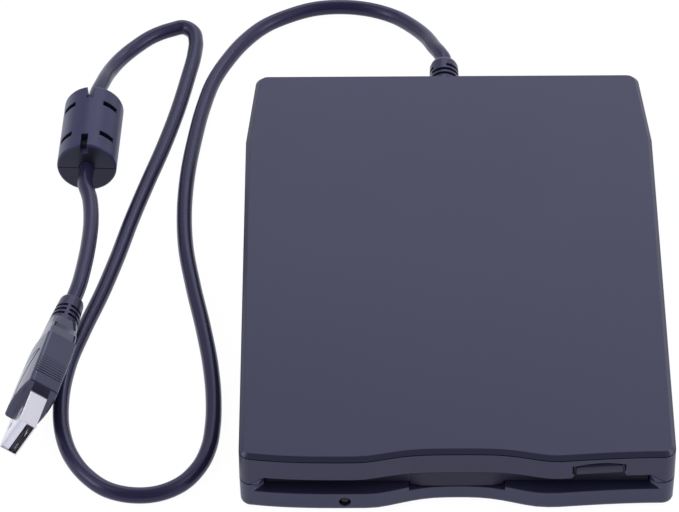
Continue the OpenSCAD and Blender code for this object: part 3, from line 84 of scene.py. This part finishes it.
# The plug leans on its lower edge, just clear of the table. This is the front middle of its grip.
PLUG_FACE = Vector((-103.05, -42.55, 0.1 + GRIP_WIDTH / 2 * math.cos(math.radians(PLUG_LEAN))
                    + GRIP_THICKNESS / 2 * math.sin(math.radians(PLUG_LEAN))))


# ---------------------------------------------------------------- shader nodes
def new_material(name):
    material = bpy.data.materials.new(name)
    material.use_nodes = True
    tree = material.node_tree
    return material, tree, tree.nodes["Principled BSDF"]


def srgb(red, green, blue):
    """The linear colour of a colour given in display levels of 0 to 255."""
    def linear(level):
        level /= 255
        return level / 12.92 if level <= 0.04045 else ((level + 0.055) / 1.055) ** 2.4
    return (linear(red), linear(green), linear(blue), 1)


def ramp(tree, value, low, high, start=0.0, end=1.0, smooth=False):
    """low where the value is at most start, high where it is at least end, and between them in between."""
    node = tree.nodes.new("ShaderNodeMapRange")
    node.inputs["From Min"].default_value = start
    node.inputs["From Max"].default_value = end
    node.inputs["To Min"].default_value = low
    node.inputs["To Max"].default_value = high
    node.interpolation_type = "SMOOTHSTEP" if smooth else "LINEAR"
    tree.links.new(value, node.inputs["Value"])
    return node.outputs["Result"]


def math_node(tree, operation, *values):
    """A math node's result. Its values are numbers or other nodes' outputs."""
    node = tree.nodes.new("ShaderNodeMath")
    node.operation = operation
    for i, value in enumerate(values):
        if isinstance(value, (int, float)):
            node.inputs[i].default_value = value
        else:
            tree.links.new(value, node.inputs[i])
    return node.outputs[0]


def noise(tree, scale, detail, stretch):
    coordinates = tree.nodes.new("ShaderNodeTexCoord")
    mapping = tree.nodes.new("ShaderNodeMapping")
    mapping.inputs["Scale"].default_value = stretch
    tree.links.new(coordinates.outputs["Object"], mapping.inputs["Vector"])
    node = tree.nodes.new("ShaderNodeTexNoise")
    node.inputs["Scale"].default_value = scale
    node.inputs["Detail"].default_value = detail
    tree.links.new(mapping.outputs["Vector"], node.inputs["Vector"])
    return node.outputs["Fac"]


def colour_mix(tree, factor, first, second):
    """A colour from the first to the second by the factor. Each is a value or another node's output."""
    node = tree.nodes.new("ShaderNodeMix")
    node.data_type = "RGBA"
    tree.links.new(factor, node.inputs["Factor"])
    for socket, colour in (("A", first), ("B", second)):
        if isinstance(colour, (tuple, list)):
            node.inputs[socket].default_value = colour
        else:
            tree.links.new(colour, node.inputs[socket])
    return node.outputs["Result"]


def separated(tree, vector):
    node = tree.nodes.new("ShaderNodeSeparateXYZ")
    tree.links.new(vector, node.inputs[0])
    return node.outputs


# ---------------------------------------------------------------- masks: 1 on a marked place, 0 elsewhere
def within(tree, value, span):
    """1 where the value is inside the span, given in mm."""
    middle, half = (span[0] + span[1]) / 2, (span[1] - span[0]) / 2
    return math_node(tree, "COMPARE", value, middle * MM, half * MM)


def in_boxes(*boxes):
    """A mask that is 1 inside any of the boxes. A box has a span in mm for x, y and z, or None for any."""
    def mask(tree):
        coordinates = tree.nodes.new("ShaderNodeTexCoord")
        place = separated(tree, coordinates.outputs["Object"])
        total = None
        for spans in boxes:
            inside = None
            for axis, span in zip("XYZ", spans):
                if span is None:
                    continue
                part = within(tree, place[axis], span)
                inside = part if inside is None else math_node(tree, "MULTIPLY", inside, part)
            total = inside if total is None else math_node(tree, "MAXIMUM", total, inside)
        return total
    return mask


def facing_front(tree, tolerance=0.05):
    """1 where the surface faces the front of the drive."""
    coordinates = tree.nodes.new("ShaderNodeTexCoord")
    way = separated(tree, coordinates.outputs["Normal"])
    return math_node(tree, "COMPARE", way["Y"], -1.0, tolerance)


# Painted shade on the casing: dark lines below the chamfer, along the parting line, and beside the button,
# where shade falls in the crease, the seam and the button's gaps.
CHAMFER_FOOT = (16.8, 17.02)
PARTING_LINE_ABOVE = (8.3, 8.66)
PARTING_LINE_BELOW = (8.34, 8.6)
BUTTON_GAP_LEFT, BUTTON_GAP_LEFT_HEIGHT = (27.3, 27.9), (12.6, 15.1)
BUTTON_GAP_RIGHT, BUTTON_GAP_RIGHT_HEIGHT = (39.7, 40.1), (12.9, 15.0)
upper_painted_shade_lines = in_boxes((None, None, CHAMFER_FOOT), (None, None, PARTING_LINE_ABOVE),
                       (BUTTON_GAP_LEFT, None, BUTTON_GAP_LEFT_HEIGHT),
                       (BUTTON_GAP_RIGHT, None, BUTTON_GAP_RIGHT_HEIGHT))
lower_painted_shade_lines = in_boxes((None, None, PARTING_LINE_BELOW))

# The slot's end cheeks, painted lighter as a painted light where light falls on them: their distances from the
# middle, and their height.
CHEEK_NEAR, CHEEK_FAR = 46.2, 49.6
CHEEK_HEIGHT = (6.45, 8.3)
cheek_boxes = in_boxes(((CHEEK_NEAR, CHEEK_FAR), None, CHEEK_HEIGHT),
                       ((-CHEEK_FAR, -CHEEK_NEAR), None, CHEEK_HEIGHT))


def painted_light_on_cheeks(tree):
    """Where the painted light goes: the faces of the cheeks that look into the slot, and not the front of the
    casing round them.
    """
    other_ways = math_node(tree, "SUBTRACT", 1.0, facing_front(tree, 0.08))
    return math_node(tree, "MULTIPLY", cheek_boxes(tree), other_ways)


# The curved line on the plug's broad faces is painted shade: a near black arc without reflection, where shade
# falls in the curved groove. It is an arc in the plug's own y and z. Its width there is generous, because the
# photograph's view foreshortens it.
ARC_Y, ARC_Z, ARC_RADIUS, ARC_HALF_WIDTH = -0.1, 14.9, 15.65, 0.42
ARC_LENGTHWISE, ARC_ACROSS = (0.4, 12.8), (-2, 6)


def plug_groove_painted_shade(tree):
    coordinates = tree.nodes.new("ShaderNodeTexCoord")
    plug_axes = tree.nodes.new("ShaderNodeMapping")
    plug_axes.vector_type = "TEXTURE"
    plug_axes.inputs["Location"].default_value = PLUG_FACE * MM
    plug_axes.inputs["Rotation"].default_value = (0, math.radians(PLUG_LEAN), math.radians(PLUG_TURN))
    tree.links.new(coordinates.outputs["Object"], plug_axes.inputs["Vector"])
    place = separated(tree, plug_axes.outputs["Vector"])
    along = math_node(tree, "SUBTRACT", place["Y"], ARC_Y * MM)
    across = math_node(tree, "SUBTRACT", place["Z"], ARC_Z * MM)
    square = math_node(tree, "ADD", math_node(tree, "MULTIPLY", along, along),
                       math_node(tree, "MULTIPLY", across, across))
    arc = math_node(tree, "COMPARE", math_node(tree, "SQRT", square), ARC_RADIUS * MM, ARC_HALF_WIDTH * MM)
    ends = math_node(tree, "MULTIPLY", within(tree, place["Y"], ARC_LENGTHWISE),
                     within(tree, place["Z"], ARC_ACROSS))
    return math_node(tree, "MULTIPLY", arc, ends)


# ---------------------------------------------------------------- materials
# The slow noise runs from its darkest to its lightest between these levels.
SLOW_RANGE = (0.3, 0.7)
SLOW_DETAIL, FINE_DETAIL = 4, 2
BUMP_STRENGTH = 0.5


def surface(name, colour, rough, metallic=0.0, grain=3000, depth=0.02, spread=0.06, patch=60,
            rough_spread=0.06, edge=0.2, specular=0.5, stretch=(1, 1, 1), tint=(1, 1, 1, 1), painted_marks=()):
    """A moulded or metal surface with fine grain, slow changes of colour and roughness, and softened edges.

    A painted mark is a mask, for painted light or shade, with its colour and its specular level, or None where
    the level stays.
    """
    material, tree, shader = new_material(name)
    shader.inputs["Metallic"].default_value = metallic
    shader.inputs["Specular IOR Level"].default_value = specular
    shader.inputs["Specular Tint"].default_value = tint
    slow = noise(tree, patch, SLOW_DETAIL, stretch)
    fine = noise(tree, grain, FINE_DETAIL, stretch)
    darkest = [c * (1 - spread) for c in colour[:3]] + [1]
    lightest = [min(1, c * (1 + spread)) for c in colour[:3]] + [1]
    shown = colour_mix(tree, ramp(tree, slow, 0, 1, *SLOW_RANGE), darkest, lightest)
    for mask, mark_colour, mark_specular in painted_marks:
        where = mask(tree)
        shown = colour_mix(tree, where, shown, mark_colour)
        if mark_specular is not None:
            tree.links.new(ramp(tree, where, specular, mark_specular), shader.inputs["Specular IOR Level"])
    tree.links.new(shown, shader.inputs["Base Color"])
    roughness = ramp(tree, slow, rough - rough_spread, rough + rough_spread, *SLOW_RANGE)
    tree.links.new(roughness, shader.inputs["Roughness"])
    bevel = tree.nodes.new("ShaderNodeBevel")
    bevel.samples = 6
    bevel.inputs["Radius"].default_value = edge * MM
    bump = tree.nodes.new("ShaderNodeBump")
    bump.inputs["Strength"].default_value = BUMP_STRENGTH
    bump.inputs["Distance"].default_value = depth * MM
    tree.links.new(fine, bump.inputs["Height"])
    tree.links.new(bevel.outputs["Normal"], bump.inputs["Normal"])
    tree.links.new(bump.outputs["Normal"], shader.inputs["Normal"])
    return material


# The photograph's blue cast, in what the dark plastics mirror.
SHEEN = (0.74, 0.735, 1.0, 1)
CORD_SHEEN = (0.72, 0.69, 1.0, 1)
# The colour and specular level of the painted shade lines on the casing: near black, with almost no
# reflection.
PAINTED_SHADE_COLOUR = srgb(12, 12, 20)
PAINTED_SHADE_SPECULAR = 0.02

# What the moulded plastics share.
MOULDED = {"grain": 2600, "spread": 0.03, "tint": SHEEN}
SHELL = {"depth": 0.008, "patch": 25, "rough_spread": 0.02}

# The casing carries painted shade lines in its crease, its seam and the button's gaps.
casing = surface("casing", srgb(37, 36, 56), 0.34, edge=0.25, specular=0.58,
                 painted_marks=[(upper_painted_shade_lines, PAINTED_SHADE_COLOUR, PAINTED_SHADE_SPECULAR)], **SHELL, **MOULDED)
# The lower casing carries painted light on the slot's cheeks, and a painted shade line along the parting line.
lower_casing = surface("lower_casing", srgb(39, 39, 62), 0.34, edge=0.35, specular=0.68,
                       painted_marks=[(painted_light_on_cheeks, srgb(96, 96, 118), None),
                              (lower_painted_shade_lines, PAINTED_SHADE_COLOUR, PAINTED_SHADE_SPECULAR)],
                       **SHELL, **MOULDED)
flap_plastic = surface("flap_plastic", srgb(35, 32, 45), 0.5, depth=0.01, specular=0.4, **MOULDED)
button_plastic = surface("button_plastic", srgb(25, 25, 39), 0.38, depth=0.01, edge=0.25, specular=0.6,
                         **MOULDED)
# The plug's grip carries a painted shade line along its curved groove.
grip_plastic = surface("grip_plastic", srgb(42, 42, 60), 0.12, grain=2200, depth=0.004, spread=0.04,
                       specular=0.8, rough_spread=0.04, tint=SHEEN, painted_marks=[(plug_groove_painted_shade, srgb(8, 8, 14), 0.0)])
# The ferrite cover's end faces that look to the front are painted darker: painted shade.
sleeve_plastic = surface("sleeve_plastic", srgb(42, 41, 72), 0.34, grain=2200, depth=0.008, spread=0.04,
                         edge=0.3, specular=0.45, tint=SHEEN, painted_marks=[(facing_front, srgb(26, 25, 38), None)])
cord_jacket = surface("cord_jacket", srgb(35, 33, 57), 0.26, grain=1500, depth=0.006, spread=0.05,
                      specular=0.45, rough_spread=0.04, tint=CORD_SHEEN)
foot_rubber = surface("foot_rubber", srgb(30, 30, 34), 0.8, grain=1800, depth=0.05)
inner_black = surface("inner_black", srgb(28, 28, 34), 0.5)
inner_grey = surface("inner_grey", srgb(120, 120, 126), 0.5, spread=0.08)
white_plastic = surface("white_plastic", srgb(225, 228, 240), 0.35, spread=0.03)
lamp_lens = surface("lamp_lens", srgb(22, 24, 27), 0.25, spread=0.02, edge=0.1, specular=0.3)
board_green = surface("board_green", srgb(24, 92, 50), 0.35, spread=0.12, patch=400)
lead_plastic = surface("lead_plastic", srgb(150, 40, 36), 0.5)
screw_steel = surface("screw_steel", srgb(185, 187, 192), 0.35, metallic=1.0, spread=0.05)
zinc_steel = surface("zinc_steel", srgb(190, 193, 198), 0.42, metallic=1.0, spread=0.08, patch=90)
bright_steel = surface("bright_steel", srgb(205, 205, 208), 0.28, metallic=1.0, spread=0.04,
                       stretch=(1, 12, 1))
plug_nickel = surface("plug_nickel", srgb(224, 220, 226), 0.12, metallic=1.0, spread=0.03, rough_spread=0.03)
copper_wire = surface("copper_wire", srgb(180, 100, 50), 0.4, metallic=1.0, grain=6000)
bearing_brass = surface("bearing_brass", srgb(190, 160, 90), 0.4, metallic=1.0)
contact_gold = surface("contact_gold", srgb(230, 190, 100), 0.25, metallic=1.0)
ferrite_grey = surface("ferrite_grey", srgb(60, 60, 64), 0.6)

dress = {
    casing: ["top_cover"],
    lower_casing: ["bottom_cover"],
    flap_plastic: ["door_flap"],
    button_plastic: ["eject_button"],
    foot_rubber: ["rubber_feet"],
    lamp_lens: ["led_lens"],
    sleeve_plastic: ["ferrite_cover"],
    ferrite_grey: ["ferrite_core"],
    grip_plastic: ["plug_grip"],
    plug_nickel: ["plug_shell"],
    contact_gold: ["plug_contacts"],
    cord_jacket: ["strain_relief", "plug_relief", "cord_long", "cord_inside", "cord_short"],
    white_plastic: ["ribbon_cable", "cord_connector", "protect_plunger", "disk_plunger", "plug_tongue"],
    inner_black: ["switch_blocks", "lower_head", "upper_head"],
    inner_grey: ["trigger_lever", "head_carriage", "chuck_hub"],
    board_green: ["led_board", "motor_board", "drive_board", "controller_board"],
    lead_plastic: ["cord_leads"],
    screw_steel: ["cover_screws", "chassis_screws", "board_screws", "lead_screw"],
    zinc_steel: ["chassis", "stepper_bracket", "disk_holder"],
    bright_steel: ["top_shield", "stepper_can", "guide_rod", "eject_slide", "arm_pin", "upper_arm",
                   "spindle_rotor"],
    copper_wire: ["motor_coils"],
    bearing_brass: ["spindle_bearing"],
}
# Edges that turn by more than this stay sharp.
SHARP_FROM = 32
for material, names in dress.items():
    for name in names:
        mesh = nodes[name].data
        mesh.materials.clear()
        mesh.materials.append(material)
        mesh.shade_smooth()
        mesh.set_sharp_from_angle(angle=math.radians(SHARP_FROM))


# ---------------------------------------------------------------- cord
# The same points as in part.scad. They were set along the cord's middle line in the photograph, which was
# measured there and carried to the table by the fitted camera. The ends leave their pieces square.
from_drive_to_ferrite = [
    (-0.5, 85, 9.5), (-0.5, 87, 9.5), (-1.3, 89.5, 9.2), (-2.8, 93.7, 8), (-4.8, 100.2, 6), (-8.7, 107.6, 4),
    (-13.6, 113.5, 2.6), (-20, 117, 2.1), (-27, 118.3, 2), (-35, 117.5, 2), (-42, 114.5, 2), (-48, 110.5, 2),
    (-53.5, 104, 2), (-58, 96, 2), (-61.5, 87.5, 2), (-64, 77, 2), (-66, 64, 2), (-67.5, 50, 2),
    (-68, 36, 2), (-67.3, 22, 2), (-65, 7, 2), (-62, -9, 2), (-60, -22, 2), (-59, -34, 2),
    (-59, -43, 2), (-59.8, -50.5, 2), (-62.1, -57.4, 2), (-66.3, -63.1, 2), (-72, -66.2, 2), (-78, -66.6, 2),
    (-83.9, -64.7, 2), (-89.1, -60, 2), (-93.1, -53.4, 2), (-95.6, -45, 2), (-96.4, -35, 2), (-95.25, -22, 2),
    (-92, -9, 2), (-88, 4.5, 2), (-84.6, 18, 2), (-81.5, 32, 2), (-78, 46, 2), (-74.3, 60, 2),
    (-71, 74.5, 2), (-68.4, 89, 2), (-66.9, 99, 2), (-66.7, 104, 2), (-67.6, 108, 2), (-70, 110, 2),
    (-73.5, 109, 2), (-78, 106.5, 2), (-83, 101.5, 2), (-86.8, 96, 2.3), (-89.3, 89.5, 3.6),
    (-90.7, 82.5, 5.8),
]
from_ferrite_to_plug = [(-92, 34, 7.9), (-91.3, 26, 8.2), (-91.5, 16, 8.6), (-92.2, 8, 8.8)]


def backwards(distance, turn):
    """A level step to the back, turned anticlockwise by the angle as seen from above."""
    angle = math.radians(turn)
    return Vector((-distance * math.sin(angle), distance * math.cos(angle), 0))


ferrite_back = FERRITE_MIDDLE + backwards(FERRITE_LENGTH / 2, FERRITE_TURN)
ferrite_front = FERRITE_MIDDLE - backwards(FERRITE_LENGTH / 2, FERRITE_TURN)
plug_end = PLUG_FACE + backwards(PLUG_LENGTH, PLUG_TURN)
# The cord leaves the ferrite and the plug in line with them, by way of points at these distances.
FAR, NEAR = 5, 2
SAG = Vector((0, 0, 0.25))
route = [Vector(point) for point in from_drive_to_ferrite]
route += [ferrite_back + backwards(FAR, FERRITE_TURN) - SAG, ferrite_back + backwards(NEAR, FERRITE_TURN)]
route += [ferrite_back, FERRITE_MIDDLE, ferrite_front]
route += [ferrite_front - backwards(NEAR, FERRITE_TURN), ferrite_front - backwards(FAR, FERRITE_TURN)]
route += [Vector(point) for point in from_ferrite_to_plug]
route += [plug_end + backwards(FAR, PLUG_TURN), plug_end + backwards(NEAR, PLUG_TURN), plug_end]


def tangent(points, i):
    """The route's direction at a point, nearer to that of the shorter stretch beside it."""
    if i == 0:
        return (points[1] - points[0]).normalized()
    if i == len(points) - 1:
        return (points[-1] - points[-2]).normalized()
    before, after = points[i] - points[i - 1], points[i + 1] - points[i]
    return (before.normalized() / before.length + after.normalized() / after.length).normalized()


def make_cord():
    curve = bpy.data.curves.new("cord", "CURVE")
    curve.dimensions = "3D"
    curve.resolution_u = 8
    curve.bevel_depth = CORD_RADIUS * MM
    curve.bevel_resolution = 6
    spline = curve.splines.new("BEZIER")
    spline.bezier_points.add(len(route) - 1)
    for i, point in enumerate(spline.bezier_points):
        direction = tangent(route, i)
        before = (route[i] - route[i - 1]).length if i else 1
        after = (route[i + 1] - route[i]).length if i < len(route) - 1 else 1
        point.handle_left_type = point.handle_right_type = "FREE"
        point.co = route[i] * MM
        point.handle_left = (route[i] - direction * before / 3) * MM
        point.handle_right = (route[i] + direction * after / 3) * MM
    cord = bpy.data.objects.new("cord", curve)
    scene.collection.objects.link(cord)
    curve.materials.append(cord_jacket)
    return cord


cord = make_cord()
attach(cord, "housing")
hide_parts("cord_long", "cord_inside", "cord_short")

# ---------------------------------------------------------------- floor and world
# What polished surfaces mirror of the white surroundings.
MIRRORED_WHITE = (0.89, 0.92, 1.0)
FLOOR_HALF = 6
# How much of the floor is its own glow, as the camera sees it and as polished surfaces mirror it. The rest is
# a lit white surface, which keeps the object's shadow.
FLOOR_SEEN, FLOOR_MIRRORED = 0.94, 0.77
FLOOR_GLOW = 1.03


def seen_directly(tree, path):
    """1 for a ray from the camera, also through clear material."""
    return math_node(tree, "MAXIMUM", path.outputs["Is Camera Ray"], path.outputs["Is Transmission Ray"])


def shader_mix(tree, factor, first, second):
    node = tree.nodes.new("ShaderNodeMixShader")
    tree.links.new(factor, node.inputs["Fac"])
    tree.links.new(first, node.inputs[1])
    tree.links.new(second, node.inputs[2])
    return node.outputs["Shader"]


def make_floor():
    mesh = bpy.data.meshes.new("floor")
    corners = [(x * FLOOR_HALF, y * FLOOR_HALF, 0) for x, y in ((-1, -1), (1, -1), (1, 1), (-1, 1))]
    mesh.from_pydata(corners, [], [(0, 1, 2, 3)])
    floor = bpy.data.objects.new("floor", mesh)
    scene.collection.objects.link(floor)
    material, tree, shader = new_material("floor_white")
    shader.inputs["Base Color"].default_value = (0.9, 0.9, 0.9, 1)
    shader.inputs["Roughness"].default_value = 0.9
    shader.inputs["Specular IOR Level"].default_value = 0.1
    path = tree.nodes.new("ShaderNodeLightPath")
    mirrored = path.outputs["Is Glossy Ray"]
    glow = tree.nodes.new("ShaderNodeEmission")
    glow.inputs["Strength"].default_value = FLOOR_GLOW
    glow_colour = colour_mix(tree, mirrored, (1, 1, 1, 1), (*MIRRORED_WHITE, 1))
    tree.links.new(glow_colour, glow.inputs["Color"])
    share = math_node(tree, "MAXIMUM", math_node(tree, "MULTIPLY", seen_directly(tree, path), FLOOR_SEEN),
                      math_node(tree, "MULTIPLY", mirrored, FLOOR_MIRRORED))
    blend = shader_mix(tree, share, shader.outputs["BSDF"], glow.outputs["Emission"])
    tree.links.new(blend, tree.nodes["Material Output"].inputs["Surface"])
    mesh.materials.append(material)


# The world that polished surfaces mirror is white beyond the object and at both sides, and dark towards the
# camera. Each ramp has its lowest and highest level, and the values at which it starts and ends.
BEYOND = (0.45, 0.87, -0.1)
BEYOND_RAMP = (0.2, 1.0, -0.2, 0.9)
SIDEWAYS_RAMP = (0.0, 0.95, 0.35, 0.9)
WORLD_COLOUR, WORLD_STRENGTH = (0.95, 0.94, 1.0, 1), 0.75


def make_world():
    world = bpy.data.worlds.new("studio")
    scene.world = world
    world.use_nodes = True
    tree = world.node_tree
    ambient = tree.nodes["Background"]
    ambient.inputs["Color"].default_value = WORLD_COLOUR
    ambient.inputs["Strength"].default_value = WORLD_STRENGTH

    direction = tree.nodes.new("ShaderNodeTexCoord").outputs["Generated"]
    toward = tree.nodes.new("ShaderNodeVectorMath")
    toward.operation = "DOT_PRODUCT"
    toward.inputs[1].default_value = BEYOND
    tree.links.new(direction, toward.inputs[0])
    beyond = ramp(tree, toward.outputs["Value"], *BEYOND_RAMP, smooth=True)
    to_a_side = math_node(tree, "ABSOLUTE", separated(tree, direction)["X"])
    sideways = ramp(tree, to_a_side, *SIDEWAYS_RAMP, smooth=True)
    level = math_node(tree, "MAXIMUM", beyond, sideways)
    colour = tree.nodes.new("ShaderNodeCombineColor")
    for channel, most in zip(("Red", "Green", "Blue"), MIRRORED_WHITE):
        tree.links.new(math_node(tree, "MULTIPLY", level, most), colour.inputs[channel])
    mirrored = tree.nodes.new("ShaderNodeBackground")
    mirrored.inputs["Strength"].default_value = 1.0
    tree.links.new(colour.outputs["Color"], mirrored.inputs["Color"])

    white = tree.nodes.new("ShaderNodeBackground")
    white.inputs["Color"].default_value = (1, 1, 1, 1)
    white.inputs["Strength"].default_value = 1.0
    path = tree.nodes.new("ShaderNodeLightPath")
    around = shader_mix(tree, path.outputs["Is Glossy Ray"], ambient.outputs["Background"],
                        mirrored.outputs["Background"])
    shown = shader_mix(tree, seen_directly(tree, path), around, white.outputs["Background"])
    tree.links.new(shown, tree.nodes["World Output"].inputs["Surface"])


make_floor()
make_world()

# ---------------------------------------------------------------- lamps
SOFT_WHITE = (0.95, 0.94, 1)
# Name, place, target, size, power and colour.
lamps = [
    ("high_left", (-0.9, 0.2, 1.3), (0, 0, 0), (1.0, 1.0), 2.8, SOFT_WHITE),
    ("high_right", (0.9, 0.1, 1.3), (0, 0, 0), (1.0, 1.0), 2.8, SOFT_WHITE),
    ("side_left", (-1.22, -0.2, 0.7), (0, 0, 0), (0.5, 0.5), 3, SOFT_WHITE),
    ("side_right", (1.22, -0.2, 0.7), (0, 0, 0), (0.5, 0.5), 3, SOFT_WHITE),
    ("behind", (0.05, 1.05, 0.76), (0, 0.06, 0), (0.6, 0.4), 1.05, (0.8, 0.84, 1)),
    ("key_right", (0.51, 0.9, 0.93), (-0.08, 0.03, 0), (0.25, 0.25), 0.9, (0.95, 0.95, 1)),
]


def make_lamp(name, place, target, size, power, colour):
    data = bpy.data.lights.new(name, "AREA")
    data.shape = "RECTANGLE"
    data.size, data.size_y = size
    data.energy = power
    data.color = colour
    lamp = bpy.data.objects.new(name, data)
    lamp.location = place
    lamp.rotation_mode = "QUATERNION"
    lamp.rotation_quaternion = (Vector(target) - Vector(place)).to_track_quat("-Z", "Y")
    scene.collection.objects.link(lamp)


for lamp in lamps:
    make_lamp(*lamp)

scene.view_settings.view_transform = "Standard"
